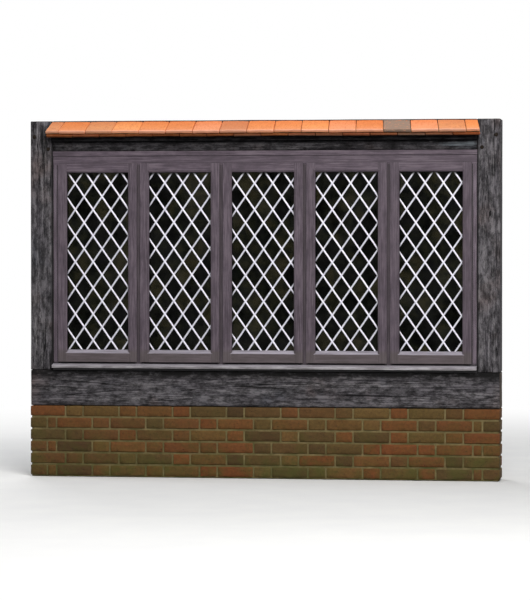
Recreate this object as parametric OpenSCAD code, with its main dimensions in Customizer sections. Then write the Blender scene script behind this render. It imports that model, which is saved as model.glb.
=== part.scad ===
// Five-light leaded timber window under a clay tile hood, standing between two
// oak posts on a sole plate and a brick plinth. Millimetres, +Z up, -Y outside.
// The origin is at ground level, at the middle of the width and of the wall.

/* [Wall timbers] */
// Clear width between the two posts
clear_w = 2685; // [1800:5:3400]
// Width of each post
post_w = 145; // [110:5:220]
// Depth of the posts, sole plate and head beam, from outside to inside
timber_d = 200; // [170:5:260]
// Height of the sole plate
sole_h = 225; // [120:5:300]
// Height of the head beam
beam_h = 192; // [180:1:300]

/* [Plinth] */
// Depth of the brick plinth
plinth_d = 225; // [215:5:330]
// Height of the brick plinth above the ground
plinth_h = 450; // [150:75:900]

/* [Window frame] */
// Height of the window, from the sole plate up to the head beam
window_h = 1383; // [1000:1:1800]
// How far the outer face of the frame lies behind the face of the posts
frame_setback = 10; // [5:1:40]
// Depth of the jambs, mullions and head
frame_d = 70; // [66:1:95]
// Width of jamb that shows outside the first and last sash
jamb_show = 33; // [20:1:70]
// Height of frame head that shows above the sashes
head_show = 48; // [25:1:80]
// Height of the packing piece between the frame head and the beam
packer_h = 29; // [15:1:70]
// How far the packing piece stands forward of the frame
packer_proud = 6; // [2:1:15]
// Width of each mullion that shows between two sashes
mullion_show = 21; // [12:1:60]
// How far the rebate stop stands into each opening
stop_w = 12; // [6:1:20]

/* [Sill] */
// How far the sill nose reaches in front of the posts
nose_reach = 40; // [20:1:90]
// Height of the front of the nose
nose_h = 18; // [16:1:45]
// How far the underside of the nose lies above the sole plate
nose_lift = 15; // [4:1:20]
// Radius along the upper edge of the nose
nose_r = 9; // [2:0.5:12]
// Slope of the top of the sill, in degrees
sill_slope = 10; // [5:0.5:14]
// Width of the drip groove under the nose
drip_w = 8; // [4:1:12]
// Distance of the drip groove from the front of the nose
drip_inset = 12; // [8:1:18]

/* [Sashes] */
// Thickness of the sash body, behind the lip
sash_t = 45; // [42:1:60]
// How far the sash lip stands forward of the frame
lip_t = 10; // [6:1:16]
// How far the lip laps over the frame
lip_lap = 10; // [6:1:16]
// Width of each stile, lip included
stile_w = 57; // [50:1:90]
// Width of the top rail, lip included
top_rail_w = 59; // [50:1:110]
// Width of the bottom rail, bevel included
bottom_rail_w = 77; // [65:1:130]
// Gap between the sash body and the frame
sash_gap = 3; // [1:0.5:5]
// Radius of the moulding round the glass
ovolo_r = 9; // [4:0.5:12]
// Depth of the small step beside the moulding
quirk = 2; // [1:0.5:3]
// Height of the bevel below the glass that sheds the rain
bevel_h = 22; // [8:1:30]

/* [Glazing] */
// Thickness of each sheet of glass
glass_t = 4; // [3:0.5:6]
// Thickness of the double-glazed unit
unit_t = 24; // [16:1:24]
// Depth of timber in front of the unit
front_lip_t = 18; // [14:1:22]
// How far the glazing rebate is cut behind the moulding
rebate_w = 14; // [10:1:18]
// Gap between the unit and the timber, all round
unit_gap = 2; // [1:0.5:4]
// Width of the spacer bars inside the unit
spacer_w = 9; // [6:1:11]

/* [Leads] */
// Width of each lead
came_w = 11; // [6:1:18]
// Thickness of each lead
came_t = 2; // [1:0.5:4]
// Width of a diamond, from point to point
diamond_w = 115; // [80:1:180]
// Height of a diamond, from point to point
diamond_h = 165; // [110:1:260]
// Gap between the ends of the leads and the timber
came_gap = 0.4; // [0.2:0.1:2]

/* [Tile hood] */
// Slope of the tiles, in degrees
hood_slope = 31; // [15:1:35]
// How far the tiles reach in front of the posts
hood_reach = 105; // [70:1:160]
// Depth of the tile tops below the top of the posts, at the wall
hood_drop = 4; // [2:1:40]
// Thickness of the tiles
tile_t = 20; // [12:1:26]
// Thickness of the mortar between the two courses
mortar_t = 10; // [4:1:12]
// How far the mortar lies back from the front of the tiles
mortar_back = 16; // [8:1:25]
// How far the lower course lies back from the front of the upper one
under_back = 12; // [0:1:30]
// How far the tiles lap over each post
hood_lap = 5; // [0:1:60]
// How much further out the front corners of the tiles lie than the back ones
hood_rake = 22; // [0:1:30]
// Length of the top of the tilting fillet, down the slope
fillet_l = 62; // [40:1:66]
// Height of the tilting fillet against the beam
fillet_h = 66; // [50:1:75]

/* [Inside] */
// Thickness of the window board
board_t = 30; // [20:1:40]
// How far the board reaches past the inner face of the posts
board_reach = 30; // [15:1:60]
// Length of each handle lever
lever_l = 112; // [80:1:140]
// Width of the handle plates
handle_plate_w = 19; // [14:1:20]
// Height of the handles above the bottom of the sashes
handle_h = 560; // [300:5:700]

/* [Hidden] */
$fn = 48;
eps = 0.01;
// How far a cutting shape reaches past what it cuts
past = 1;
// Lights in the window, and those that open
LIGHTS = 5;
OPENERS = [1, 3, 5];
// Where a crossing of the leads lies in each light: right of its middle, below
// the top of its glass. The lattices were set by hand and differ a little.
CROSSINGS = [[-31, 67], [17, 65], [-54, 68], [24, 69], [-38, 68]];

post_x = clear_w / 2;
total_w = clear_w + 2 * post_w;
y_out = -timber_d / 2;
y_in = timber_d / 2;
z_sole = plinth_h;
z_window = z_sole + sole_h;
z_beam = z_window + window_h;
z_top = z_beam + beam_h;

y_frame = y_out + frame_setback;
y_frame_back = y_frame + frame_d;
y_sash = y_frame - lip_t;
y_stop = y_frame + sash_t;
y_glass = y_sash + front_lip_t;
y_glass_back = y_glass + unit_t;

z_packer = z_beam - packer_h;
z_sash_top = z_packer - head_show;
y_nose = y_out - nose_reach;
z_nose_top = z_window + nose_lift + nose_h;
z_seat = z_nose_top + (y_stop - y_nose) * tan(sill_slope);
z_sash = z_seat + sash_gap;

sash_w = (clear_w - 2 * jamb_show - (LIGHTS - 1) * mullion_show) / LIGHTS;
light_pitch = sash_w + mullion_show;
function light_x(i) = (i - (LIGHTS + 1) / 2) * light_pitch;

sight_w = sash_w - 2 * stile_w;
z_glass = z_sash + bottom_rail_w;
z_glass_top = z_sash_top - top_rail_w;
sight_h = z_glass_top - z_glass;

board_nose_r = board_t / 2;
hood_len = hood_reach / cos(hood_slope);
hood_x = post_x + hood_lap;

// A box between two corners
module block(low, high) {
    translate(low) cube(high - low);
}

// Extrudes a section, drawn as y and z, along X from the middle both ways
module along_x(length) {
    translate([-length / 2, 0, 0]) rotate([90, 0, 90]) linear_extrude(length) children();
}

// Places its children at every light of the window
module at_lights() {
    for (i = [1 : LIGHTS]) translate([light_x(i), 0, 0]) children();
}

module brick_plinth() {
    color("#8a5a49")
        block([-total_w / 2, -plinth_d / 2, 0], [total_w / 2, plinth_d / 2, z_sole]);
}

module sole_plate() {
    color("#3e3a3c") block([-total_w / 2, y_out, z_sole], [total_w / 2, y_in, z_window]);
}

module post() {
    color("#454144") block([post_x, y_out, z_window], [post_x + post_w, y_in, z_top]);
}

module head_beam() {
    color("#3e3a3c") block([-post_x, y_out, z_beam], [post_x, y_in, z_top]);
}

// Section of one layer of the hood, from the wall down the slope to its front.
// depth is measured square to the slope, from the upper face of the tiles.
module hood_section(depth, thickness, length) {
    intersection() {
        translate([y_out, z_top - hood_drop]) rotate(hood_slope)
            translate([-length, -depth - thickness]) square([length + hood_reach, thickness]);
        translate([y_out - 2 * hood_reach, z_beam]) square([2 * hood_reach, 2 * beam_h]);
    }
}

// Plan of the hood: its ends are raked, so that the front is a little wider
module hood_plan() {
    slip = hood_rake / hood_reach;
    polygon([[-hood_x, y_out], [hood_x, y_out],
             [hood_x + 2 * hood_rake, y_out - hood_rake * 2 / slip],
             [-hood_x - 2 * hood_rake, y_out - hood_rake * 2 / slip]]);
}

module hood_layer(depth, thickness, length) {
    intersection() {
        along_x(total_w) hood_section(depth, thickness, length);
        translate([0, 0, z_beam]) linear_extrude(2 * beam_h) hood_plan();
    }
}

module hood_tiles() {
    color("#e0733c") hood_layer(0, tile_t, hood_len);
}

module hood_mortar() {
    color("#a89c88") hood_layer(tile_t, mortar_t, hood_len - mortar_back);
}

module hood_under_tiles() {
    color("#8f4d2e") hood_layer(tile_t + mortar_t, tile_t, hood_len - under_back);
}

// Triangular timber on the beam that carries the tiles at their slope, with a
// cove along its lower edge
module hood_fillet() {
    top_depth = (2 * tile_t + mortar_t) / cos(hood_slope);
    z_back = z_top - hood_drop - top_depth;
    run = fillet_l * cos(hood_slope);
    rise = fillet_l * sin(hood_slope);
    cove_r = (fillet_h - rise) * 0.7;
    color("#3b3739") along_x(clear_w) difference() {
        polygon([[y_out, z_back], [y_out - run, z_back - rise],
                 [y_out - run, z_back - fillet_h], [y_out, z_back - fillet_h]]);
        translate([y_out - run, z_back - fillet_h]) circle(cove_r);
    }
}

module head_packer() {
    color("#5f555a") block([-post_x, y_frame - packer_proud, z_packer], [post_x, y_frame_back, z_beam]);
}

module frame_head() {
    color("#5f555a") along_x(clear_w) polygon([
        [y_frame, z_sash_top - lip_lap], [y_stop, z_sash_top - lip_lap],
        [y_stop, z_sash_top - lip_lap - stop_w], [y_frame_back, z_sash_top - lip_lap - stop_w],
        [y_frame_back, z_packer], [y_frame, z_packer]]);
}

// Section of the sill: weathered top, rounded nose, drip groove, and the
// upstand that the bottom rails close against
module sill_section() {
    difference() {
        union() {
            polygon([
                [y_out, z_window], [y_frame_back, z_window], [y_frame_back, z_sash + stop_w],
                [y_stop, z_sash + stop_w], [y_stop, z_seat],
                [y_nose + nose_r, z_nose_top + nose_r * tan(sill_slope)],
                [y_nose + nose_r, z_nose_top - nose_r], [y_nose, z_nose_top - nose_r],
                [y_nose, z_window + nose_lift], [y_out, z_window + nose_lift]]);
            translate([y_nose + nose_r, z_nose_top - nose_r]) circle(nose_r);
        }
        translate([y_nose + drip_inset + drip_w / 2, z_window + nose_lift]) circle(d = drip_w);
    }
}

module frame_sill() {
    color("#6c6268") along_x(clear_w) sill_section();
}

// An upright of the frame, from below the sill's top to above the head's
// underside, cut to stand on the sill and to fit under the head
module upright(x_low, x_high, stop_low, stop_high) {
    color("#5f555a") difference() {
        union() {
            block([x_low, y_frame, z_window], [x_high, y_frame_back, z_packer]);
            block([x_low - stop_low, y_stop, z_window], [x_high + stop_high, y_frame_back, z_packer]);
        }
        along_x(total_w) sill_section();
        block([-total_w, y_nose, z_window - past], [total_w, y_out + eps, z_seat]);
        block([-total_w, y_frame - past, z_sash_top - lip_lap],
              [total_w, y_frame_back + past, z_packer + past]);
        block([-total_w, y_stop, z_sash_top - lip_lap - stop_w],
              [total_w, y_frame_back + past, z_packer]);
    }
}

module left_jamb() {
    upright(-post_x, -post_x + jamb_show + lip_lap, 0, stop_w);
}

module right_jamb() {
    upright(post_x - jamb_show - lip_lap, post_x, stop_w, 0);
}

module mullion(i) {
    x = light_x(i) + light_pitch / 2;
    half = mullion_show / 2 + lip_lap;
    upright(x - half, x + half, stop_w, stop_w);
}

// What the moulding takes from one side of a sash, drawn as the distance from
// the sight line and y: a small step, and a quarter round inside it
module moulding_cut() {
    difference() {
        union() {
            translate([-eps, y_sash - past]) square([ovolo_r + quirk + eps, quirk + past]);
            translate([-eps, y_sash - past]) square([ovolo_r + eps, ovolo_r + quirk + past]);
        }
        translate([ovolo_r, y_sash + quirk + ovolo_r]) circle(ovolo_r);
    }
}

// Opening of a sash from side to side, drawn as x and y
module opening_width() {
    translate([-sight_w / 2, y_sash - past]) square([sight_w, lip_t + sash_t + 2 * past]);
    for (side = [0, 1]) mirror([side, 0]) translate([sight_w / 2, 0]) moulding_cut();
}

// Opening of a sash from bottom to top, drawn as y and z: the same moulding
// along the top, and along the bottom a bevel that sheds the rain
module opening_height() {
    translate([y_sash - past, z_glass]) square([lip_t + sash_t + 2 * past, sight_h]);
    translate([0, z_glass_top]) mirror([1, -1]) moulding_cut();
    polygon([[y_sash - past, z_glass], [y_glass, z_glass],
             [y_sash, z_glass - bevel_h], [y_sash - past, z_glass - bevel_h]]);
}

// The moulded opening of a sash, whose mouldings meet in true mitres
module moulded_opening() {
    intersection() {
        translate([0, 0, z_glass - stile_w]) linear_extrude(sight_h + 2 * stile_w) opening_width();
        along_x(sash_w) opening_height();
    }
}

// The whole frame of one sash about the middle of its light: a lip in front,
// the body inside the rebates behind it, the moulded opening and the rebate
// that holds the glazing
module sash_ring() {
    edge = lip_lap + sash_gap;
    difference() {
        union() {
            block([-sash_w / 2, y_sash, z_sash], [sash_w / 2, y_frame, z_sash_top]);
            block([-sash_w / 2 + edge, y_sash, z_sash], [sash_w / 2 - edge, y_stop, z_sash_top - edge]);
        }
        moulded_opening();
        block([-sight_w / 2 - rebate_w, y_glass, z_glass - rebate_w],
              [sight_w / 2 + rebate_w, y_stop + past, z_glass_top + rebate_w]);
    }
}

// All that lies between the stiles, where the rails are tenoned into them
module between_stiles() {
    block([-sight_w / 2, y_sash - past, z_sash - past],
          [sight_w / 2, y_stop + past, z_sash_top + past]);
}

module sash_stiles(i) {
    color("#655a60") translate([light_x(i), 0, 0]) difference() {
        sash_ring();
        between_stiles();
    }
}

module sash_rails(i) {
    color("#655a60") translate([light_x(i), 0, 0]) intersection() {
        sash_ring();
        between_stiles();
    }
}

// A flat rectangle centred on the glass of a light, drawn as x and z
module pane_outline(grow) {
    translate([-sight_w / 2 - grow, z_glass - grow]) square([sight_w + 2 * grow, sight_h + 2 * grow]);
}

// Extrudes an outline drawn as x and z, from y towards the inside
module from_y(y, thickness) {
    translate([0, y + thickness, 0]) rotate([90, 0, 0]) linear_extrude(thickness) children();
}

module glass(i) {
    color("#2b3034") translate([light_x(i), 0, 0]) {
        from_y(y_glass, glass_t) pane_outline(rebate_w - unit_gap);
        from_y(y_glass_back - glass_t, glass_t) pane_outline(rebate_w - unit_gap);
    }
}

module spacer_bars() {
    color("#a5a8ab") at_lights() from_y(y_glass + glass_t, unit_t - 2 * glass_t) difference() {
        pane_outline(rebate_w - unit_gap);
        pane_outline(rebate_w - unit_gap - spacer_w);
    }
}

// One bead profile cut from the rebate, bevelled towards the room
module glazing_beads() {
    depth = y_stop - y_glass_back;
    color("#655a60") at_lights() difference() {
        from_y(y_glass_back, depth) pane_outline(rebate_w);
        from_y(y_glass_back - past, depth + 2 * past) pane_outline(0);
        intersection() {
            translate([0, 0, z_glass - rebate_w]) linear_extrude(sight_h + 2 * rebate_w)
                bead_bevel(sight_w, depth);
            along_x(sash_w) translate([0, (z_glass + z_glass_top) / 2]) mirror([1, -1])
                bead_bevel(sight_h, depth);
        }
    }
}

// What the bevel takes from two facing beads, drawn as across and y
module bead_bevel(size, depth) {
    bevel = depth / 2;
    half = size / 2;
    polygon([[-half, y_stop - bevel], [half, y_stop - bevel],
             [half + bevel + past, y_stop + past], [-half - bevel - past, y_stop + past]]);
}

// Diamond lattice of one face, drawn as x and z and trimmed to the moulding.
// Every bar of a slope lies one diamond's width from the next.
module lattice(crossing) {
    lean = atan(diamond_w / diamond_h);
    bar_l = 2 * (sight_w + sight_h);
    count = ceil((sight_w / 2 + abs(crossing[0]) + sight_h * diamond_w / diamond_h) / diamond_w);
    intersection() {
        pane_outline(-came_gap);
        translate([crossing[0], z_glass_top - crossing[1]])
            for (side = [-1, 1], k = [-count : count])
                translate([k * diamond_w, 0]) rotate(side * lean) square([came_w, bar_l], center = true);
    }
}

module leads(i) {
    color("#b9bdcb") translate([light_x(i), 0, 0]) {
        from_y(y_glass - came_t, came_t) lattice(CROSSINGS[i - 1]);
        from_y(y_glass_back, came_t) lattice(CROSSINGS[i - 1]);
    }
}

// Board on the sole plate behind the sill, with a half-round nose inside
module window_board() {
    color("#6a5546") along_x(clear_w) union() {
        translate([y_frame_back, z_window])
            square([y_in + board_reach - board_nose_r - y_frame_back, board_t]);
        translate([y_in + board_reach - board_nose_r, z_window + board_nose_r]) circle(board_nose_r);
    }
}

// Plate, neck and lever of one handle, on the inner face of a sash stile
module handle() {
    plate_t = 5;
    neck_d = 13;
    neck_l = 22;
    lever_w = 13;
    lever_t = 9;
    plate_l = 130;
    from_y(y_stop, plate_t) slot_shape(handle_plate_w, plate_l);
    translate([0, y_stop + plate_t - eps, 0]) rotate([-90, 0, 0]) cylinder(d = neck_d, h = neck_l + eps);
    translate([0, 0, -lever_l / 2 + lever_w / 2])
        from_y(y_stop + plate_t + neck_l - eps, lever_t) slot_shape(lever_w, lever_l);
}

// Upright slot shape with round ends, drawn as x and z about its middle
module slot_shape(width, length) {
    translate([-width / 2, -(length - width) / 2]) square([width, length - width]);
    for (side = [-1, 1]) translate([0, side * (length - width) / 2]) circle(d = width);
}

module handles() {
    // Middle of the timber that shows between the rebate stop and the bead
    flat_x = sash_w / 2 - (lip_lap + stop_w + stile_w - rebate_w) / 2;
    color("#3a3a3c") for (i = OPENERS)
        translate([light_x(i) + (i == LIGHTS ? -1 : 1) * flat_x, 0, z_sash + handle_h]) handle();
}

brick_plinth();
sole_plate();
mirror([1, 0, 0]) post();  // left_post
post();  // right_post
head_beam();
hood_fillet();
hood_under_tiles();
hood_mortar();
hood_tiles();
head_packer();
frame_head();
frame_sill();
left_jamb();
right_jamb();
for (i = [1 : LIGHTS - 1]) mullion(i);
for (i = [1 : LIGHTS]) sash_stiles(i);
for (i = [1 : LIGHTS]) sash_rails(i);
for (i = [1 : LIGHTS]) glass(i);
for (i = [1 : LIGHTS]) leads(i);
spacer_bars();
glazing_beads();
window_board();
handles();
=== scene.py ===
"""Looks of the leaded window bay: materials, brickwork, weathered timbers, tiles and leads."""
import math
import random

import bmesh
import bpy
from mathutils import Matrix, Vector, noise


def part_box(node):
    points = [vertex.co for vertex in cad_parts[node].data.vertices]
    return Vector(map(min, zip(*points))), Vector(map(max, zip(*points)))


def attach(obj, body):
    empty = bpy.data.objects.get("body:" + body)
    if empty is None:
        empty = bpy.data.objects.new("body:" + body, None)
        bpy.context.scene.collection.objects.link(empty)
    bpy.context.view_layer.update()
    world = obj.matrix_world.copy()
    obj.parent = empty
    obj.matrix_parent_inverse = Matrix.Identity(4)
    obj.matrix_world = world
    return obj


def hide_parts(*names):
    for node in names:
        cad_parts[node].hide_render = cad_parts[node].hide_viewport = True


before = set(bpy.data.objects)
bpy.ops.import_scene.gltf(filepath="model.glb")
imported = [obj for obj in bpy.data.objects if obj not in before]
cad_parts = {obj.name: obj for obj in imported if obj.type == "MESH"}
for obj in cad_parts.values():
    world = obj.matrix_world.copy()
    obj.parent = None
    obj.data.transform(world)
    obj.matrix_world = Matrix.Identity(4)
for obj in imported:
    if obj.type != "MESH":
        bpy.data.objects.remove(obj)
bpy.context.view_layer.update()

MM = 0.001
LIGHTS = range(1, 6)
X, Y, Z = 0, 1, 2
# Height that green growth reaches on the brickwork
GROWTH_TOP = 420 * MM


# Colours

def rgb(red, green, blue):
    """A colour as it shows on a screen, 0 to 255, as the linear values that shaders take."""
    def linear(value):
        value /= 255
        return value / 12.92 if value <= 0.04045 else ((value + 0.055) / 1.055) ** 2.4
    return (linear(red), linear(green), linear(blue), 1.0)


# Node trees and materials

class Nodes:
    """A node tree built piece by piece. A value may be a socket, a number or a colour."""

    def __init__(self, tree):
        self.tree = tree
        tree.nodes.clear()

    def node(self, kind, inputs=None, **settings):
        """Adds a node. Inputs go by name or number, and settings are its other properties."""
        made = self.tree.nodes.new("ShaderNode" + kind)
        for name, value in settings.items():
            setattr(made, name, value)
        for name, value in (inputs or {}).items():
            self.put(made.inputs[name], value)
        return made

    def put(self, socket, value):
        if isinstance(value, bpy.types.NodeSocket):
            self.tree.links.new(value, socket)
        else:
            socket.default_value = value

    def math(self, operation, low, high=0.0, clamp=False):
        made = self.node("Math", operation=operation, use_clamp=clamp)
        self.put(made.inputs[0], low)
        self.put(made.inputs[1], high)
        return made.outputs[0]

    def seen(self):
        """1 where a thing shows, also mirrored or through glass, and 0 where it only lights."""
        path = self.node("LightPath").outputs
        shown = self.math("MAXIMUM", path["Is Camera Ray"], path["Is Glossy Ray"])
        return self.math("MAXIMUM", shown, path["Is Transmission Ray"])


class Surface(Nodes):
    """A material with one principled shader."""

    def __init__(self, name):
        self.material = bpy.data.materials.new(name)
        self.material.use_nodes = True
        super().__init__(self.material.node_tree)
        self.shader = self.node("BsdfPrincipled")
        self.output = self.node("OutputMaterial", {"Surface": self.shader.outputs["BSDF"]})

    def finish(self, **inputs):
        """Sets the shader's sockets, named with _ for a space, and returns the material."""
        for name, value in inputs.items():
            self.put(self.shader.inputs[name.replace("_", " ")], value)
        return self.material

    def place(self, stretch=(1, 1, 1), shift=True):
        """Object coordinates times a stretch, shifted so that no two pieces are cut alike."""
        at = self.node("TexCoord").outputs["Object"]
        if shift:
            pick = self.node("ObjectInfo").outputs["Random"]
            step = self.node("VectorMath", {0: (7.3, 5.1, 9.7)}, operation="SCALE")
            self.put(step.inputs["Scale"], pick)
            at = self.node("VectorMath", {0: at, 1: step.outputs[0]}, operation="ADD").outputs[0]
        return self.node("VectorMath", {0: at, 1: stretch}, operation="MULTIPLY").outputs[0]

    def noise(self, vector, scale, detail=4.0, roughness=0.55, distortion=0.0):
        return self.node("TexNoise", {"Vector": vector, "Scale": scale, "Detail": detail,
                                      "Roughness": roughness, "Distortion": distortion}).outputs[0]

    def cells(self, vector, scale, feature="F1"):
        return self.node("TexVoronoi", {"Vector": vector, "Scale": scale}, feature=feature)

    def ramp(self, value, *stops):
        """Colour, or grey for plain numbers, along stops of (position, value)."""
        made = self.node("ValToRGB", {"Fac": value})
        band = made.color_ramp
        while len(band.elements) < len(stops):
            band.elements.new(0.5)
        for element, (position, colour) in zip(band.elements, stops):
            element.position = position
            element.color = colour if isinstance(colour, tuple) else (colour,) * 3 + (1.0,)
        return made.outputs["Color"]

    def mix(self, amount, low, high, blend="MIX"):
        made = self.node("Mix", data_type="RGBA", blend_type=blend, clamp_factor=True)
        self.put(made.inputs[0], amount)
        self.put(made.inputs[6], low)
        self.put(made.inputs[7], high)
        return made.outputs[2]

    def span(self, value, low, high, new_low=0.0, new_high=1.0):
        return self.node("MapRange", {"Value": value, "From Min": low, "From Max": high,
                                      "To Min": new_low, "To Max": new_high}).outputs[0]

    def patch(self, middle, reach):
        """A ragged oval about a place, as wide and high as reach says: 0 outside it, 1 inside."""
        at = self.place(shift=False)
        away = self.node("VectorMath", {0: at, 1: middle}, operation="SUBTRACT").outputs[0]
        away = self.node("VectorMath", {0: away, 1: reach}, operation="DIVIDE").outputs[0]
        away = self.node("VectorMath", {0: away}, operation="LENGTH").outputs["Value"]
        return self.span(self.math("ADD", away, self.noise(at, 90, 4, 0.7)), 1.75, 1.15)

    def attribute(self, name):
        return self.node("Attribute", attribute_name=name).outputs["Fac"]

    def axis_part(self, axis, vector):
        return self.node("SeparateXYZ", {0: vector}).outputs[axis]

    def bump(self, height, depth, under=None, strength=1.0):
        made = self.node("Bump", {"Height": height, "Distance": depth, "Strength": strength})
        if under is not None:
            self.put(made.inputs["Normal"], under)
        return made.outputs["Normal"]

    def soft_edges(self, radius):
        return self.node("Bevel", {"Radius": radius}, samples=4).outputs["Normal"]

    def corner_dirt_and_shade(self, reach, amount, full=0.4):
        """Dirt and painted shade in corners and gaps, darker where less is open round them: none in
        the open, the amount where only full is left open.
        """
        air = self.node("AmbientOcclusion", {"Distance": reach}, samples=8).outputs["AO"]
        return self.span(air, 0.9, full, 0, amount)

    def faces(self, axis):
        """How far the bare surface faces along an axis, from -1 to 1."""
        return self.axis_part(axis, self.node("NewGeometry").outputs["True Normal"])

    def growth(self, at, scale, bare, full):
        """Green growth in patches, most of it near the ground."""
        near_ground = self.span(self.axis_part(Z, at), GROWTH_TOP, 20 * MM)
        patches = self.span(self.noise(at, scale, 6, 0.65), bare, full)
        return self.math("MULTIPLY", patches, self.math("ADD", near_ground, 0.22), clamp=True)


def along(axis, fine, coarse):
    """A stretch that is coarse along one axis and fine across it, for wood grain."""
    return tuple(coarse if a == axis else fine for a in (X, Y, Z))


def end_wood(s, axis, shade):
    """Growth rings where a timber is cut across."""
    rings = s.noise(s.place(along(axis, 9, 0.2)), 1.0, 3, 0.5, 3.0)
    rings = s.math("SINE", s.math("MULTIPLY", rings, 90))
    rings = s.ramp(s.span(rings, -1, 1), (0.0, rgb(58, 51, 46)), (1.0, rgb(98, 86, 76)))
    return s.mix(1.0, rings, (shade, shade, shade, 1), "MULTIPLY")


def drying_checks(s, axis):
    """1 in the cracks that open along the grain as a timber dries, and 0 elsewhere."""
    line = s.noise(s.place(along(axis, 27, 0.7)), 1.0, 3, 0.45)
    width = s.span(s.noise(s.place(along(axis, 5, 1.6)), 1.0, 2), 0.44, 0.56, 0, 0.011)
    return s.math("LESS_THAN", s.math("ABSOLUTE", s.math("SUBTRACT", line, 0.5)), width)


def old_timber(name, axis, shade=1.0, shade_below=None, opening=None, marks=()):
    """Rough-sawn oak, stained near black, gone grey and checked by the weather.

    shade darkens the whole piece: as a darker stain, and on the beam and the hood's fillet also as
    painted shade under the hood. shade_below is the height of an edge below which the wood is
    painted dark, as the shadow of what stands out above it. opening is the half width of a gap
    whose sides are edged with a dark band. marks are patches on the front, as in BEAM_MARKS.
    """
    s = Surface(name + "_" + "xyz"[axis])
    streaks = s.noise(s.place(along(axis, 60, 2.2)), 1.0, 8, 0.62, 0.6)
    fibres = s.noise(s.place(along(axis, 420, 9)), 1.0, 5, 0.6)
    tone = s.math("ADD", s.math("MULTIPLY", streaks, 0.62), s.math("MULTIPLY", fibres, 0.38))
    colour = s.ramp(tone, (0.30, rgb(46, 43, 48)), (0.46, rgb(82, 79, 83)),
                    (0.60, rgb(110, 107, 110)), (0.74, rgb(150, 146, 146)))
    clouds = s.noise(s.place(), 3.1, 4, 0.6)
    colour = s.mix(s.span(clouds, 0.56, 0.74, 0, 0.45), colour, rgb(92, 72, 64))
    colour = s.mix(s.span(clouds, 0.44, 0.28, 0, 0.4), colour, rgb(72, 80, 90))
    mottle = s.noise(s.place(along(axis, 30, 12)), 1.0, 7, 0.8)
    frayed = s.math("ADD", mottle, s.span(fibres, 0.3, 0.7, -0.06, 0.06))
    patches = s.ramp(frayed, (0.38, 0.16 * shade), (0.5, 0.74 * shade), (0.58, 1.5 * shade))
    colour = s.mix(1.0, colour, patches, "MULTIPLY")
    at = s.place(shift=False)
    # Painted shadow: the wood just below shade_below is darkened as the shade of what stands out
    # above it.
    if shade_below is not None:
        below = s.span(s.axis_part(Z, at), shade_below - 60 * MM, shade_below - 24 * MM)
        kept = s.math("MULTIPLY", below, s.span(mottle, 0.62, 0.5, 0.6, 0.95))
        colour = s.mix(kept, colour, rgb(14, 13, 13))
    if opening is not None:
        aside = s.math("ABSOLUTE", s.axis_part(X, at))
        beside = s.span(aside, opening + 14 * MM, opening + 5 * MM, 0, 0.85)
        colour = s.mix(beside, colour, rgb(14, 13, 13))
    front = s.math("LESS_THAN", s.axis_part(Y, at), 0)
    for x, z, half_width, half_height, tint in marks:
        here = s.patch((x * MM, 0, z * MM), (half_width * MM, 1, half_height * MM))
        worn = s.math("MULTIPLY", here, s.span(streaks, 0.42, 0.58, 0.25, 1))
        colour = s.mix(s.math("MULTIPLY", worn, front), colour, tint)
    check = drying_checks(s, axis)
    colour = s.mix(s.math("MULTIPLY", check, 0.9), colour, rgb(10, 9, 10))
    end = s.math("GREATER_THAN", s.math("ABSOLUTE", s.faces(axis)), 0.7)
    colour = s.mix(end, colour, end_wood(s, axis, shade))
    # Dirt and painted shade, darkest in corners and under what stands out.
    colour = s.mix(s.corner_dirt_and_shade(45 * MM, 0.9), colour, rgb(12, 11, 12))
    relief = s.math("ADD", s.math("MULTIPLY", streaks, 0.5), s.math("MULTIPLY", fibres, 0.25))
    normal = s.bump(s.math("SUBTRACT", relief, s.math("MULTIPLY", check, 0.6)), 3.5 * MM)
    return s.finish(Base_Color=colour, Roughness=s.span(tone, 0.3, 0.75, 0.7, 0.9), Normal=normal,
                    Specular_IOR_Level=0.14 * shade)


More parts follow.
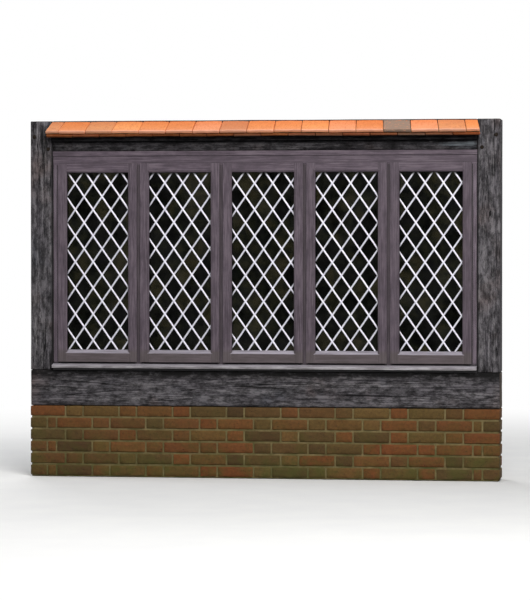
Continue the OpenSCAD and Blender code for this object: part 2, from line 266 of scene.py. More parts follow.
def stained_wood(name, axis, dark, mid, light, bleach_and_top_light=0.0, shade_below=None, splash=None, joints=0.0):
    """Planed joinery under an old stain: satin, dark in the corners with dirt and painted shade,
    worn along its edges.

    bleach_and_top_light is how far the faces that look up are painted pale: bleached grey by the
    weather, and a painted highlight where they catch light from above. shade_below is the height
    below which a piece is painted dark as shadow, splash the height that rain splashes up to.
    joints is how dark the dirt and painted shade lie against the pieces beside it.
    """
    s = Surface(name + "_" + "xyz"[axis])
    grain = s.noise(s.place(along(axis, 170, 5)), 1.0, 6, 0.55, 0.4)
    pores = s.noise(s.place(along(axis, 900, 22)), 1.0, 3, 0.5)
    clouds = s.noise(s.place(along(axis, 22, 7)), 1.0, 5, 0.65)
    tone = s.math("ADD", s.math("MULTIPLY", grain, 0.55), s.math("MULTIPLY", clouds, 0.45))
    colour = s.ramp(tone, (0.41, dark), (0.5, mid), (0.59, light))
    colour = s.mix(s.span(pores, 0.36, 0.30, 0, 0.35), colour, dark)
    piece = s.node("ObjectInfo").outputs["Random"]
    colour = s.mix(s.span(piece, 0, 1, 0, 0.3), colour, dark)
    height = s.axis_part(Z, s.place(shift=False))
    if splash is not None:
        colour = s.mix(s.span(height, splash, splash - 25 * MM, 0, 0.5), colour, rgb(80, 74, 68))
    # Faces that look up are painted pale: partly bleached grey by the weather, partly a painted
    # highlight where they catch light from above.
    pale_top = s.ramp(grain, (0.4, rgb(134, 128, 138)), (0.6, rgb(172, 166, 178)))
    colour = s.mix(s.span(s.faces(Z), 0.3, 0.6, 0, bleach_and_top_light), colour, pale_top)
    # Painted shade on faces that look down.
    colour = s.mix(s.span(s.faces(Z), -0.6, -0.85, 0, 0.8), colour, rgb(30, 25, 28))
    soft = s.soft_edges(1.6 * MM)
    flat = s.node("NewGeometry").outputs["Normal"]
    turned = s.node("VectorMath", {0: soft, 1: flat}, operation="DOT_PRODUCT").outputs["Value"]
    worn = s.span(s.noise(s.place(), 60, 3), 0.38, 0.62, 0, 0.45)
    worn = s.math("MULTIPLY", s.span(turned, 0.995, 0.93), worn)
    colour = s.mix(worn, colour, rgb(150, 138, 138))
    # Dirt and painted shade in corners.
    colour = s.mix(s.corner_dirt_and_shade(20 * MM, 0.7), colour, rgb(30, 25, 28))
    # Painted shade on the sides of upright pieces, which face into the gaps between them.
    if axis == Z:
        side = s.span(s.math("ABSOLUTE", s.faces(X)), 0.9, 0.98, 0, 0.7)
        colour = s.mix(side, colour, rgb(30, 25, 28))
    # Dirt and painted shade against the pieces beside it.
    if joints:
        colour = s.mix(s.corner_dirt_and_shade(26 * MM, joints, 0.72), colour, rgb(18, 15, 17))
    # Painted shadow: below shade_below the piece is darkened as the shade under the sill's nose.
    if shade_below is not None:
        under_edge_shade = s.span(height, shade_below + 1 * MM, shade_below - 1 * MM, 0, 0.85)
        colour = s.mix(under_edge_shade, colour, rgb(14, 12, 13))
    relief = s.math("ADD", s.math("MULTIPLY", grain, 0.6), s.math("MULTIPLY", pores, 0.4))
    return s.finish(Base_Color=colour, Roughness=s.span(tone, 0.3, 0.7, 0.5, 0.66),
                    Normal=s.bump(relief, 0.5 * MM, soft), Specular_IOR_Level=0.3)


def brick_clay():
    """Red-brown stock bricks of mixed burn, with green growth low down and dark pits."""
    s = Surface("brick_clay")
    at = s.place(shift=False)
    tone = s.attribute("tone")
    face = s.ramp(tone, (0.0, rgb(72, 50, 32)), (0.2, rgb(102, 82, 44)), (0.45, rgb(124, 68, 36)),
                  (0.65, rgb(88, 72, 42)), (0.85, rgb(130, 74, 40)), (1.0, rgb(108, 90, 50)))
    mottle = s.noise(at, 55, 6, 0.65)
    colour = s.mix(s.span(mottle, 0.35, 0.7, 0, 0.55), face, rgb(62, 45, 27))
    sand = s.noise(at, 420, 4, 0.7)
    colour = s.mix(s.span(sand, 0.55, 0.7, 0, 0.4), colour, rgb(146, 114, 66))
    green = s.growth(at, 7, 0.42, 0.66)
    colour = s.mix(s.math("MULTIPLY", green, 0.62), colour, rgb(76, 80, 34))
    ragged = s.math("ADD", s.cells(at, 90).outputs["Distance"], s.span(sand, 0.3, 0.7, -0.12, 0.12))
    pits = s.math("MULTIPLY", s.span(ragged, 0.28, 0.14), s.span(s.noise(at, 40, 3), 0.5, 0.58))
    colour = s.mix(s.math("MULTIPLY", pits, 0.6), colour, rgb(34, 25, 16))
    height = s.math("ADD", s.math("MULTIPLY", mottle, 0.6), s.math("MULTIPLY", sand, 0.4))
    normal = s.bump(s.math("SUBTRACT", height, s.math("MULTIPLY", pits, 0.7)), 2.6 * MM)
    return s.finish(Base_Color=colour, Roughness=s.span(sand, 0.3, 0.7, 0.78, 0.95), Normal=normal,
                    Specular_IOR_Level=0.25)


def lime_mortar():
    """Gritty light brown mortar, stained green towards the ground."""
    s = Surface("lime_mortar")
    at = s.place(shift=False)
    grit = s.noise(at, 380, 5, 0.7)
    patches = s.noise(at, 14, 5, 0.6)
    colour = s.ramp(patches, (0.3, rgb(98, 86, 56)), (0.7, rgb(144, 128, 90)))
    colour = s.mix(s.span(grit, 0.55, 0.72, 0, 0.5), colour, rgb(166, 150, 112))
    green = s.growth(at, 9, 0.38, 0.62)
    colour = s.mix(s.math("MULTIPLY", green, 0.7), colour, rgb(76, 82, 42))
    return s.finish(Base_Color=colour, Roughness=0.93, Normal=s.bump(grit, 2.0 * MM),
                    Specular_IOR_Level=0.2)


def tile_clay():
    """Sanded orange clay. Three attributes tell tiles apart: tone for the burn, soot for soot and
    painted shade, and moss.
    """
    s = Surface("tile_clay")
    at = s.place(shift=False)
    face = s.ramp(s.attribute("tone"), (0.0, rgb(226, 134, 78)), (0.3, rgb(243, 154, 90)),
                  (0.75, rgb(252, 168, 102)), (1.0, rgb(243, 155, 114)))
    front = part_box("hood_tiles")[0].y
    sheltered = s.span(s.axis_part(Y, at), front + 35 * MM, front + 95 * MM, 0, 0.6)
    face = s.mix(sheltered, face, rgb(232, 122, 60))
    weathered = s.span(s.axis_part(Y, at), front + 45 * MM, front + 9 * MM, 0, 0.5)
    face = s.mix(weathered, face, rgb(238, 156, 118))
    mottle = s.noise(at, 38, 6, 0.65)
    colour = s.mix(s.span(mottle, 0.5, 0.75, 0, 0.45), face, rgb(212, 112, 62))
    streaks = s.noise(s.place(along(Y, 95, 14)), 1.0, 5, 0.65)
    colour = s.mix(s.span(streaks, 0.5, 0.66, 0, 0.4), colour, rgb(204, 104, 58))
    sand = s.noise(at, 520, 4, 0.7)
    colour = s.mix(s.span(sand, 0.52, 0.66, 0, 0.42), colour, rgb(250, 188, 142))
    specks = s.math("MULTIPLY", s.span(sand, 0.42, 0.36), s.span(mottle, 0.42, 0.56))
    colour = s.mix(s.math("MULTIPLY", specks, 0.55), colour, rgb(120, 54, 28))
    # Painted highlight along the front arris of each tile, where it catches the light.
    arris_highlight = s.span(s.axis_part(Y, at), front + 13 * MM, front + 4 * MM, 0, 0.85)
    colour = s.mix(arris_highlight, colour, rgb(255, 190, 160))
    # Soot and painted shade in spots on the lower course, which lies under the top one.
    spots = s.span(s.noise(at, 24, 6, 0.7), 0.36, 0.6, 0.4, 0.9)
    sooty = s.math("MULTIPLY", s.attribute("soot"), spots, clamp=True)
    colour = s.mix(sooty, colour, rgb(176, 74, 18))
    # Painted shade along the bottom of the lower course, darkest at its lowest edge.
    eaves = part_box("hood_under_tiles")[0].z
    lower_edge_shade = s.span(s.axis_part(Z, at), eaves + 4 * MM, eaves + 12 * MM, 0.8, 0)
    colour = s.mix(lower_edge_shade, colour, rgb(62, 30, 12))
    lichen = s.span(s.noise(at, 60, 6, 0.7), 0.26, 0.46)
    mossy = s.math("MULTIPLY", s.attribute("moss"), lichen, clamp=True)
    colour = s.mix(mossy, colour, rgb(150, 126, 110))
    relief = s.math("ADD", s.math("MULTIPLY", mottle, 0.5), s.math("MULTIPLY", sand, 0.5))
    return s.finish(Base_Color=colour, Roughness=s.span(sand, 0.3, 0.7, 0.74, 0.9),
                    Normal=s.bump(relief, 1.6 * MM), Specular_IOR_Level=0.2)


def lead_metal():
    """Lead with a pale bloom. The shade attribute is painted shade on the strips of one slope, plus
    random dulling.
    """
    s = Surface("lead_metal")
    at = s.place(shift=False)
    bloom = s.noise(at, 70, 5, 0.6)
    colour = s.ramp(bloom, (0.32, rgb(214, 213, 228)), (0.5, rgb(238, 236, 250)),
                    (0.68, rgb(253, 251, 255)))
    # Painted shade on the strips of one slope, and random dulling on all.
    colour = s.mix(s.attribute("shade"), colour, rgb(130, 128, 140))
    # Dirt and painted shade where the leads run into the rebate.
    colour = s.mix(s.corner_dirt_and_shade(30 * MM, 0.95, 0.62), colour, rgb(30, 28, 31))
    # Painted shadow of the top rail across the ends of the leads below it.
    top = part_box("leads_1")[1].z
    rail_shadow = s.span(s.axis_part(Z, at), top - 20 * MM, top - 8 * MM, 0, 0.85)
    colour = s.mix(rail_shadow, colour, rgb(24, 22, 24))
    normal = s.bump(s.noise(at, 260, 4, 0.6), 0.35 * MM)
    return s.finish(Base_Color=colour, Roughness=s.span(bloom, 0.3, 0.7, 0.38, 0.56), Normal=normal,
                    Metallic=0.3)


def dark_glass(light):
    """A sealed unit that shows dark: deep tint, faint reflections, and painted reflections in the
    tint that make no two panes alike.
    """
    s = Surface(f"dark_glass_{light}")
    at = s.place(shift=False)
    cross = first_crossing(light)
    right = s.math("DIVIDE", s.math("SUBTRACT", s.axis_part(X, at), cross.x), DIAMOND_W)
    up = s.math("DIVIDE", s.math("SUBTRACT", s.axis_part(Z, at), cross.z), DIAMOND_H)
    # The tint changes from pane to pane and across the light: the glass's own dark tint, with
    # painted reflections in it.
    pane = s.node("CombineXYZ", {X: s.math("FLOOR", s.math("ADD", right, up)),
                                 Y: s.math("FLOOR", s.math("SUBTRACT", right, up)), Z: light})
    pane_reflection = s.node("TexWhiteNoise", {"Vector": pane.outputs[0]}).outputs["Value"]
    clouds = s.noise(at, 16, 4, 0.65)
    depth = s.math("ADD", s.math("MULTIPLY", pane_reflection, 0.25), s.math("MULTIPLY", clouds, 0.75))
    tint = s.ramp(depth, (0.38, rgb(42, 44, 40)), (0.5, rgb(74, 76, 66)), (0.64, rgb(104, 101, 85)))
    sheen = s.ramp(s.noise(at, 7, 2), (0.4, 0.1), (0.7, 0.4))
    return s.finish(Base_Color=tint, Roughness=0.015, IOR=1.3, Transmission_Weight=1.0,
                    Specular_Tint=sheen, Normal=s.bump(s.noise(at, 9, 3), 1.2 * MM))


def spacer_metal():
    s = Surface("spacer_metal")
    fleck = s.noise(s.place(), 180, 3)
    colour = s.ramp(fleck, (0.3, rgb(140, 142, 145)), (0.7, rgb(176, 178, 181)))
    return s.finish(Base_Color=colour, Roughness=0.45, Metallic=0.9, Normal=s.bump(fleck, 0.2 * MM))


def handle_metal():
    s = Surface("handle_metal")
    fleck = s.noise(s.place(), 240, 4)
    colour = s.ramp(fleck, (0.3, rgb(30, 30, 32)), (0.7, rgb(48, 47, 48)))
    rough = s.span(fleck, 0.3, 0.7, 0.36, 0.5)
    return s.finish(Base_Color=colour, Roughness=rough, Metallic=0.3,
                    Normal=s.bump(fleck, 0.15 * MM, s.soft_edges(1.2 * MM)))


# Meshes

def surface_grid(cuts):
    """Vertices and quads of a box's skin, on the cutting planes given for each axis."""
    count = [len(c) - 1 for c in cuts]
    verts, faces, index = [], [], {}

    def vert(place):
        if place not in index:
            index[place] = len(verts)
            verts.append(Vector([cuts[a][place[a]] for a in (X, Y, Z)]))
        return index[place]

    for a in (X, Y, Z):
        u, v = (a + 1) % 3, (a + 2) % 3
        for side in (0, count[a]):
            for iu in range(count[u]):
                for iv in range(count[v]):
                    quad = []
                    for du, dv in ((0, 0), (1, 0), (1, 1), (0, 1)):
                        place = [0, 0, 0]
                        place[a], place[u], place[v] = side, iu + du, iv + dv
                        quad.append(vert(tuple(place)))
                    faces.append(quad if side else quad[::-1])
    return verts, faces


def cut_planes(low, high, edge, step):
    """Cuts along one axis: close together round each edge, about one step apart between."""
    inner_low, inner_high = low + edge, high - edge
    count = max(1, round((inner_high - inner_low) / step))
    middle = [inner_low + (inner_high - inner_low) * i / count for i in range(count + 1)]
    return [low, low + edge * 0.35] + middle + [high - edge * 0.35, high]


def worn_box(low, high, edge, steps, wear, grain=(1, 1, 1), rate=20.0, seed=0.0):
    """A box with rounded arrises whose faces are uneven, always inward, by up to wear."""
    verts, faces = surface_grid([cut_planes(low[a], high[a], edge, steps[a]) for a in (X, Y, Z)])
    for v in verts:
        core = Vector([min(max(v[a], low[a] + edge), high[a] - edge) for a in (X, Y, Z)])
        out = (v - core).normalized()
        at = Vector([v[a] * grain[a] for a in (X, Y, Z)]) * rate + Vector((seed, seed * 1.7, -seed))
        hollow = wear * (0.5 + 0.5 * noise.noise(at))
        corner = 1.0 - max(abs(out[X]), abs(out[Y]), abs(out[Z]))
        hollow += 2.2 * corner * wear * (1 + noise.noise(at * 1.9))
        v[:] = core + out * (edge - hollow)
    return verts, faces


class Pile:
    """Gathers many small closed meshes into one, with plain numbers kept for each of them."""

    def __init__(self, *values):
        self.verts, self.faces, self.values = [], [], {name: [] for name in values}

    def add(self, verts, faces, **values):
        start = len(self.verts)
        self.verts += [tuple(v) for v in verts]
        self.faces += [[start + i for i in f] for f in faces]
        for name, kept in self.values.items():
            kept += [values[name]] * len(verts)

    def build(self, name, material, replaces=(), smooth=40, trim=()):
        """Makes the object. trim lists planes, each a point and a normal, that cut it off."""
        mesh = bpy.data.meshes.new(name)
        mesh.from_pydata(self.verts, [], self.faces)
        for key, kept in self.values.items():
            mesh.attributes.new(key, "FLOAT", "POINT").data.foreach_set("value", kept)
        if trim:
            cut_mesh(mesh, trim)
        mesh.materials.append(material)
        mesh.polygons.foreach_set("use_smooth", [True] * len(mesh.polygons))
        mesh.set_sharp_from_angle(angle=math.radians(smooth))
        made = bpy.data.objects.new(name, mesh)
        bpy.context.scene.collection.objects.link(made)
        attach(made, "root")
        if replaces:
            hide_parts(*replaces)
        return made


def cut_mesh(mesh, planes):
    """Cuts a closed mesh at planes, drops what lies on their normal's side and closes the cuts."""
    bm = bmesh.new()
    bm.from_mesh(mesh)
    for point, normal in planes:
        everything = bm.verts[:] + bm.edges[:] + bm.faces[:]
        bmesh.ops.bisect_plane(bm, geom=everything, dist=1e-6, plane_co=point, plane_no=normal,
                               clear_outer=True)
        rim = [e for e in bm.edges if e.is_boundary]
        bmesh.ops.holes_fill(bm, edges=rim)
    bm.to_mesh(mesh)
    bm.free()


# Brickwork: six courses in Flemish bond, with closers beside the end headers

BRICK_L = 222 * MM
BRICK_W = 104 * MM
CLOSER_L = 50.5 * MM
JOINT = 9 * MM
COURSE = 75 * MM
MORTAR_INSET = 6 * MM
# Bricks between the closers of an even course, and in an odd one
EVEN_BRICKS = 15
ODD_BRICKS = 17


def course_pattern(even):
    """Lengths along one course, and whether each brick runs right through the wall."""
    header, stretcher, closer = (BRICK_W, True), (BRICK_L, False), (CLOSER_L, False)
    count = EVEN_BRICKS if even else ODD_BRICKS
    bricks = [stretcher if i % 2 == 0 else header for i in range(count)]
    return [header, closer] + bricks + [closer, header] if even else bricks


def brickwork():
    low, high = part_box("brick_plinth")
    draw = random.Random(11)
    bricks = Pile("tone")
    courses = round((high.z - low.z) / COURSE)
    for row in range(courses):
        x = low.x
        bottom, top = low.z + row * COURSE + JOINT, low.z + (row + 1) * COURSE
        for length, through in course_pattern(even=row % 2 == 0):
            leaves = [(low.y, low.y + BRICK_W), (high.y - BRICK_W, high.y)]
            for front, back in [(low.y, high.y)] if through else leaves:
                slip = [draw.uniform(0, 1.6) * MM for _ in range(4)]
                verts, faces = worn_box((x, front + slip[0], bottom + slip[2]),
                                        (x + length, back - slip[1], top - slip[3]),
                                        edge=4.5 * MM, steps=(24 * MM, 24 * MM, 20 * MM),
                                        wear=2.2 * MM, rate=45, seed=draw.uniform(0, 90))
                bricks.add(verts, faces, tone=draw.random())
            x += length + JOINT
    bricks.build("plinth_bricks", brick_clay(), ["brick_plinth"])
    joints = Pile()
    inset = Vector((MORTAR_INSET, MORTAR_INSET, 0))
    joints.add(*worn_box(low + inset, high - inset - Vector((0, 0, 3 * MM)), edge=5 * MM,
                         steps=(18 * MM, 18 * MM, 15 * MM), wear=3 * MM, rate=60, seed=3))
    joints.build("plinth_mortar", lime_mortar())


# Old timbers

KNOT = rgb(16, 14, 15)
BARE = rgb(112, 118, 124)
# Middle across and up, half width and half height, in mm, and colour
BEAM_MARKS = [
    (-827, 2064, 15, 9, KNOT),
    (267, 2066, 13, 8, KNOT),
    (818, 2067, 14, 8, KNOT),
    (1225, 2094, 120, 13, BARE),
    (1305, 2104, 22, 22, BARE),
]
# Pegs in the left post, across and up in mm. The right post mirrors them.
PEGS = [(-1373, 2073), (-1461, 2150)]
PEG_R = 12 * MM
PEG_PROUD = 3 * MM
PEG_SUNK = 12 * MM


def timbers():
    upright = old_timber("post", Z, opening=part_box("right_post")[0].x)
    # The top of the sole plate is painted dark as shadow under the sill's nose.
    level = old_timber("sole", X, shade_below=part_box("sole_plate")[1].z)
    # The beam is darkened partly as stain kept under the hood and partly as painted shade; the
    # fillet is painted near black as shade.
    sheltered, sooty = old_timber("beam", X, 0.46, marks=BEAM_MARKS), old_timber("fillet", X, 0.2)
    for node, axis, look in (("sole_plate", X, level), ("left_post", Z, upright),
                             ("right_post", Z, upright), ("head_beam", X, sheltered)):
        low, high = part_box(node)
        beam = Pile()
        beam.add(*worn_box(low, high, edge=5 * MM, steps=along(axis, 14 * MM, 24 * MM),
                           wear=2.0 * MM, grain=along(axis, 1, 0.12), rate=26,
                           seed=len(node) * 3.3))
        beam.build(node + "_oak", look, [node])
    wear_in("hood_fillet", sooty)
    pegs = Pile()
    draw = random.Random(5)
    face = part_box("left_post")[0].y
    for x, z in PEGS + [(-x, z) for x, z in PEGS]:
        pegs.add(*peg(Vector((x * MM, face, z * MM)), draw))
    pegs.build("post_pegs", old_timber("peg", Y, 0.3))


def peg(at, draw):
    """A hand-cut oak peg with eight sides and a blunt end, set into a post's face."""
    sides = 8
    turn = draw.uniform(0, math.pi)
    verts, faces = [], []
    for y, reach in ((PEG_SUNK, 1.0), (-PEG_PROUD * 0.5, 1.0), (-PEG_PROUD, 0.82)):
        for i in range(sides):
            angle = turn + i / sides * math.tau
            radius = PEG_R * reach * (1 + 0.06 * math.sin(5 * angle))
            verts.append(at + Vector((radius * math.cos(angle), y, radius * math.sin(angle))))
    for ring in (0, sides):
        for i in range(sides):
            j = (i + 1) % sides
            faces.append([ring + i, ring + j, ring + j + sides, ring + i + sides])
    faces.append(list(range(sides))[::-1])
    faces.append([2 * sides + i for i in range(sides)])
    return verts, [f[::-1] for f in faces]


def wear_in(node, material):
    """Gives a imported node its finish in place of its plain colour."""
    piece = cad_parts[node]
    piece.data.materials.clear()
    piece.data.materials.append(material)


# Hood: two courses of plain tiles, the lower one half a tile out of step

# Slope, reach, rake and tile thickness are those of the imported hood
HOOD_SLOPE = math.radians(31)
HOOD_REACH = 105 * MM
HOOD_RAKE = 22 * MM
TILE_T = 20 * MM
TILE_PITCH = 168.7 * MM
TILE_GAP = 2.5 * MM
# How far a tile runs on up the slope before the beam cuts it off
TILE_TAIL = 16 * MM
# A place on the one tile that has gone grey
MOSSY_X = 843.5 * MM


def tile_course(name, node, material, count, seed, soot):
    """One course. Its tiles are cambered, lie a little unevenly and stop at the beam.

    soot is how brown the course is painted, from 0 to 1, as soot and as painted shade.
    """
    low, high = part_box(node)
    draw = random.Random(seed)
    course = Pile("tone", "soot", "moss")
    down = Vector((0, -math.cos(HOOD_SLOPE), -math.sin(HOOD_SLOPE)))
    lift = Vector((0, -math.sin(HOOD_SLOPE), math.cos(HOOD_SLOPE)))
    depth = high.y - low.y
    length = depth / math.cos(HOOD_SLOPE)
    eaves = Vector((0, low.y, low.z + TILE_T * math.cos(HOOD_SLOPE)))
    half_top = high.x - HOOD_RAKE * depth / HOOD_REACH
    for i in range(count):
        left = max(-half_top, (i - count / 2) * TILE_PITCH)
        right = min(half_top, (i + 1 - count / 2) * TILE_PITCH) - TILE_GAP
        width = right - left
        thick = TILE_T + draw.uniform(-1, 2) * MM
        back = draw.uniform(0, 4) * MM
        tip = draw.uniform(-0.008, 0.008)
        camber = draw.uniform(0.5, 1.6) * MM
        verts, faces = worn_box((0, back, -thick), (width, length + TILE_TAIL, 0), edge=2.4 * MM,
                                steps=(14 * MM, 14 * MM, 8 * MM), wear=1.3 * MM, rate=50,
                                seed=draw.uniform(0, 90))
        for v in verts:
            across = v.x / width * 2 - 1
            fan = 1 + HOOD_RAKE / half_top * (1 - v.y / length)
            height = v.z - camber * across ** 2 + tip * (v.x - width / 2) - 1.5 * MM
            v[:] = Vector(((left + v.x) * fan, 0, 0)) + eaves - down * v.y + lift * height
        moss = draw.choice((0, 0, 0, 0.25))
        if left < MOSSY_X < right:
            moss = 0.6 if soot else 1.0
        course.add(verts, faces, tone=draw.random(), soot=soot * draw.uniform(0.6, 1.0), moss=moss)
    course.build(name, material, [node], trim=[((0, high.y, 0), (0, 1, 0))])


def hood():
    clay = tile_clay()
    tile_course("hood_top_course", "hood_tiles", clay, count=17, seed=21, soot=0.0)
    tile_course("hood_lower_course", "hood_under_tiles", clay, count=16, seed=22, soot=0.8)
    wear_in("hood_mortar", lime_mortar())


# Leads: half-round strips in two slopes, the one over the other, soldered where they cross

CAME_W = 11 * MM
CAME_T = 2 * MM
CAME_STEP = 28 * MM
# Smallest and largest radius of the solder on a crossing, and how near the timber it comes
SOLDER_R = (6.2 * MM, 8.2 * MM)
SOLDER_CLEAR = 3 * MM
DIAMOND_W = 115 * MM
DIAMOND_H = 165 * MM
# Where a crossing lies in each light, in mm: right of its middle, below the top of its glass
CROSSINGS = {1: (-31, 67), 2: (17, 65), 3: (-54, 68), 4: (24, 69), 5: (-38, 68)}
# Half-round section, across and out, in shares of half the width and of the crown
CAME_SHAPE = [(-1.0, 0.0), (-0.93, 0.38), (-0.66, 0.76), (-0.3, 0.96),
              (0.3, 0.96), (0.66, 0.76), (0.93, 0.38), (1.0, 0.0)]


def first_crossing(light):
    """Where the first crossing of the leads lies below the top of a light's glass."""
    low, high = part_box(f"leads_{light}")
    right, below = CROSSINGS[light]
    return Vector(((low.x + high.x) / 2 + right * MM, 0, high.z - below * MM))


def came_strip(centre, lean, length, base_y, outward, crown, draw):
    """One strip over the whole light, before it is trimmed. lean is its angle from upright."""
    run = Vector((math.sin(lean), 0, math.cos(lean)))
    side = Vector((math.cos(lean), 0, -math.sin(lean)))
    count = max(2, round(length / CAME_STEP))
    verts, faces = [], []
    ring = len(CAME_SHAPE)
    for i in range(count + 1):
        drift = draw.uniform(-0.35, 0.35) * MM
        at = centre + run * (length * (i / count - 0.5)) + side * drift
        for across, height in CAME_SHAPE:
            out = Vector((0, base_y + outward * height * crown, 0))
            verts.append(at + side * (across * CAME_W / 2) + out)
        if i:
            for j in range(ring):
                a, b = (i - 1) * ring + j, (i - 1) * ring + (j + 1) % ring
                faces.append([a, b, b + ring, a + ring])
    faces.append(list(range(ring))[::-1])
    faces.append([count * ring + j for j in range(ring)])
    if outward > 0:
        faces = [f[::-1] for f in faces]
    return verts, faces


def solder_blob(centre, base_y, outward, size):
    """A low dome of solder over one crossing."""
    verts, faces = [], []
    rings, around = 3, 10
    for i in range(rings + 1):
        turn = i / (rings + 0.5) * math.pi / 2
        for j in range(around):
            angle = j / around * math.tau
            reach = size * math.cos(turn)
            verts.append(centre + Vector((reach * math.cos(angle),
                                          base_y + outward * 1.12 * CAME_T * math.sin(turn),
                                          reach * math.sin(angle) * 1.15)))
    for i in range(rings):
        for j in range(around):
            a, b = i * around + j, i * around + (j + 1) % around
            faces.append([a, b, b + around, a + around])
    faces.append(list(range(around))[::-1])
    faces.append([rings * around + j for j in range(around)])
    if outward > 0:
        faces = [f[::-1] for f in faces]
    return verts, faces


def leads():
    metal = lead_metal()
    lean = math.atan(DIAMOND_W / DIAMOND_H)
    for light in LIGHTS:
        low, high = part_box(f"leads_{light}")
        centre_x = (low.x + high.x) / 2
        draw = random.Random(100 + light)
        crossing = first_crossing(light)
        shift = crossing.x - centre_x
        width, height = high.x - low.x, high.z - low.z
        strips = Pile("shade")
        reach = math.ceil((width / 2 + abs(shift) + height * DIAMOND_W / DIAMOND_H) / DIAMOND_W)
        for base_y, outward in ((low.y + CAME_T, -1), (high.y - CAME_T, 1)):
            # Strips of slope 1 lie underneath with a lower crown and get 0.22 of painted shade.
            for slope, crown, shade in ((-1, CAME_T, 0.0), (1, 0.8 * CAME_T, 0.22)):
                for k in range(-reach, reach + 1):
                    middle = crossing + Vector((k * DIAMOND_W, 0, 0))
                    travel = (low.z + high.z) / 2 - middle.z
                    middle += Vector((slope * math.tan(lean) * travel, 0, travel))
                    if abs(middle.x - centre_x) > width / 2 + height * math.tan(lean) / 2 + CAME_W:
                        continue
                    length = 1.1 * height / math.cos(lean)
                    strip = came_strip(middle, slope * lean, length, base_y, outward, crown, draw)
                    strips.add(*strip, shade=shade + draw.uniform(0, 0.16))
            for row in range(-1, round(2 * height / DIAMOND_H) + 1):
                for k in range(-reach, reach + 1):
                    at = crossing + Vector(((k + row % 2 / 2) * DIAMOND_W, 0, -row * DIAMOND_H / 2))
                    if all(low[a] + SOLDER_CLEAR < at[a] < high[a] - SOLDER_CLEAR for a in (X, Z)):
                        blob = solder_blob(at, base_y, outward, draw.uniform(*SOLDER_R))
                        strips.add(*blob, shade=draw.uniform(0, 0.2))
        sides = [(low, (-1, 0, 0)), (high, (1, 0, 0)), (low, (0, 0, -1)), (high, (0, 0, 1))]
        strips.build(f"leads_{light}_cames", metal, [f"leads_{light}"], smooth=60,
                     trim=sides)


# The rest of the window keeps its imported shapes

# How far the underside of the sill's nose lies above the sole plate
NOSE_LIFT = 15 * MM
# Height above the sill that rain splashes up to
SPLASH = 75 * MM
# Dark, middle and light tone of a stain that has browned, on level and on upright pieces
LEVEL_STAIN = (rgb(72, 62, 71), rgb(96, 84, 95), rgb(117, 105, 115))
UPRIGHT_STAIN = (rgb(68, 58, 67), rgb(91, 80, 90), rgb(111, 99, 109))
# Mullions: a darker copy of the upright stain, partly dirt and partly painted shade in the recess
# between the sashes.
MULLION_STAIN = (rgb(58, 49, 56), rgb(76, 66, 73), rgb(96, 86, 93))
# Jambs: a lighter copy of the upright stain, painted light against the shade that the posts cast on
# them.
JAMB_STAIN = (rgb(86, 75, 84), rgb(112, 99, 111), rgb(135, 122, 134))
# Sill: pale partly as weathered wood, partly as a painted highlight where it catches light from
# above.
SILL_STAIN = (rgb(106, 101, 105), rgb(152, 148, 151), rgb(190, 187, 191))
BOARD_STAIN = (rgb(84, 62, 45), rgb(112, 86, 62), rgb(140, 110, 82))


def window():
    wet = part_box("frame_sill")[1].z + SPLASH
    nose_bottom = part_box("sole_plate")[1].z + NOSE_LIFT
    level = stained_wood("joinery", X, *LEVEL_STAIN, bleach_and_top_light=0.85, splash=wet)
    upright = stained_wood("joinery", Z, *UPRIGHT_STAIN, bleach_and_top_light=0.85, splash=wet)
    # Beads run both ways, so their grain is drawn along neither
    beads = stained_wood("beads", Y, *LEVEL_STAIN)
    mullion = stained_wood("mullions", Z, *MULLION_STAIN)
    jamb = stained_wood("jambs", Z, *JAMB_STAIN, joints=0.95)
    sill = stained_wood("sill", X, *SILL_STAIN, bleach_and_top_light=0.5, shade_below=nose_bottom)
    looks = {"head_packer": level, "frame_head": level, "glazing_beads": beads, "frame_sill": sill,
             "left_jamb": jamb, "right_jamb": jamb}
    looks.update({f"mullion_{light}": mullion for light in LIGHTS[:-1]})
    for light in LIGHTS:
        looks[f"sash_{light}_stiles"] = upright
        looks[f"sash_{light}_rails"] = level
    for node, look in looks.items():
        wear_in(node, look)
    for light in LIGHTS:
        wear_in(f"glass_{light}", dark_glass(light))
    wear_in("spacer_bars", spacer_metal())
    wear_in("window_board", stained_wood("board", X, *BOARD_STAIN))
    wear_in("handles", handle_metal())


# Floor, light and camera

FLOOR_WIDTH = 60
# Grey of the floor as it shows, and as it lights the object
FLOOR_PALE = 236
FLOOR_BOUNCE = 80
# Distances from the object between which the floor fades to white
FADE = (2.2, 8.0)


def floor():
    """A pale floor that fades to white with distance, darker where it only lights the object."""
    bpy.ops.mesh.primitive_plane_add(size=FLOOR_WIDTH)
    plane = bpy.context.object
    plane.name = "studio_floor"
    s = Surface("studio_floor")
    at = s.place(shift=False)
    seen = s.seen()
    pale = s.ramp(s.noise(at, 3, 3), (0.3, rgb(FLOOR_PALE, FLOOR_PALE, FLOOR_PALE)),
                  (0.7, rgb(FLOOR_PALE + 4, FLOOR_PALE + 4, FLOOR_PALE + 3)))
    dim = rgb(FLOOR_BOUNCE, FLOOR_BOUNCE, FLOOR_BOUNCE)
    s.finish(Base_Color=s.mix(seen, dim, pale), Roughness=0.9, Specular_IOR_Level=0.1)
    away = s.node("VectorMath", {0: at}, operation="LENGTH").outputs["Value"]
    far = s.node("MapRange", {"Value": away, "From Min": FADE[0], "From Max": FADE[1]},
                 interpolation_type="SMOOTHSTEP").outputs[0]
    white = s.node("Emission", {"Color": (1, 1, 1, 1), "Strength": 1.0})
    faded = s.math("MULTIPLY", seen, far)
    both = s.node("MixShader", {0: faded, 1: s.shader.outputs[0], 2: white.outputs[0]})
    s.put(s.output.inputs["Surface"], both.outputs[0])
    plane.data.materials.append(s.material)


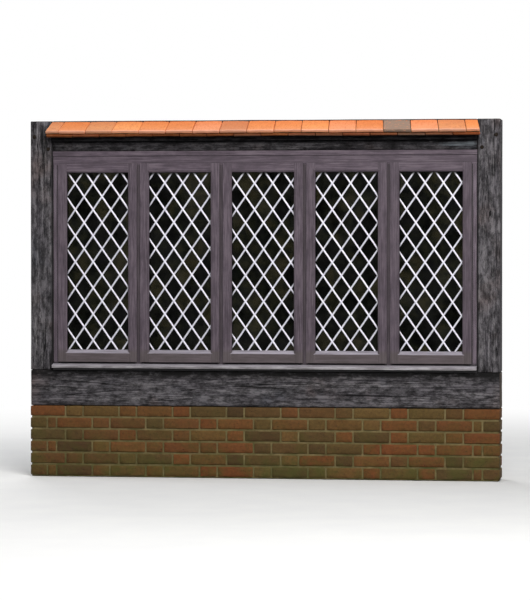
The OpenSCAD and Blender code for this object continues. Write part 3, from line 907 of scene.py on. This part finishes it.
# Place, width, power and colour of each lamp
LAMPS = {
    "key": ((3.5, -8.8, 6.7), 4.6, 980, (1, 0.985, 0.96)),
    "sky": ((0.4, -1.8, 7.0), 4.0, 105, (0.94, 0.97, 1)),
    "fill": ((-5, -8, 2.4), 4.0, 30, (0.95, 0.97, 1)),
    "back": ((-3, 7, 6), 4.0, 330, (1, 1, 1)),
    "side": ((-7, 1.4, 2.6), 2.5, 130, (1, 1, 1)),
}
LAMP_AIM = Vector((0, 0, 1.2))
WORLD_COLOUR = (0.93, 0.96, 1, 1)
WORLD_STRENGTH = 0.1


def turn_to(thing, place, aim):
    """Puts a lamp or the camera in its place, looking at its aim, and shows it to the scene."""
    thing.location = place
    thing.rotation_euler = (aim - place).to_track_quat("-Z", "Y").to_euler()
    bpy.context.scene.collection.objects.link(thing)


def lights():
    for name, (place, width, power, colour) in LAMPS.items():
        data = bpy.data.lights.new(name, "AREA")
        data.size, data.energy, data.color = width, power, colour
        turn_to(bpy.data.objects.new(name, data), Vector(place), LAMP_AIM)


def background():
    """Soft light from all round, and plain white wherever it shows."""
    world = bpy.data.worlds.new("studio")
    bpy.context.scene.world = world
    world.use_nodes = True
    nodes = Nodes(world.node_tree)
    soft = nodes.node("Background", {"Color": WORLD_COLOUR, "Strength": WORLD_STRENGTH})
    white = nodes.node("Background", {"Color": (1, 1, 1, 1), "Strength": 1.0})
    both = nodes.node("MixShader", {0: nodes.seen(), 1: soft.outputs[0], 2: white.outputs[0]})
    nodes.node("OutputWorld", {"Surface": both.outputs[0]})


CAMERA_AT = Vector((2.69, -18.0, 1.5))
CAMERA_AIM = Vector((0.0, 0.0, 1.12))
# Height that the picture spans at the object
FRAME_HEIGHT = 3.78
SENSOR = 36.0


def camera():
    data = bpy.data.cameras.new("camera")
    data.sensor_width = SENSOR
    data.lens = SENSOR * (CAMERA_AIM - CAMERA_AT).length / FRAME_HEIGHT
    made = bpy.data.objects.new("camera", data)
    turn_to(made, CAMERA_AT, CAMERA_AIM)
    bpy.context.scene.camera = made


camera()
lights()
background()
floor()
brickwork()
timbers()
hood()
leads()
window()
bpy.context.scene.view_settings.view_transform = "Standard"
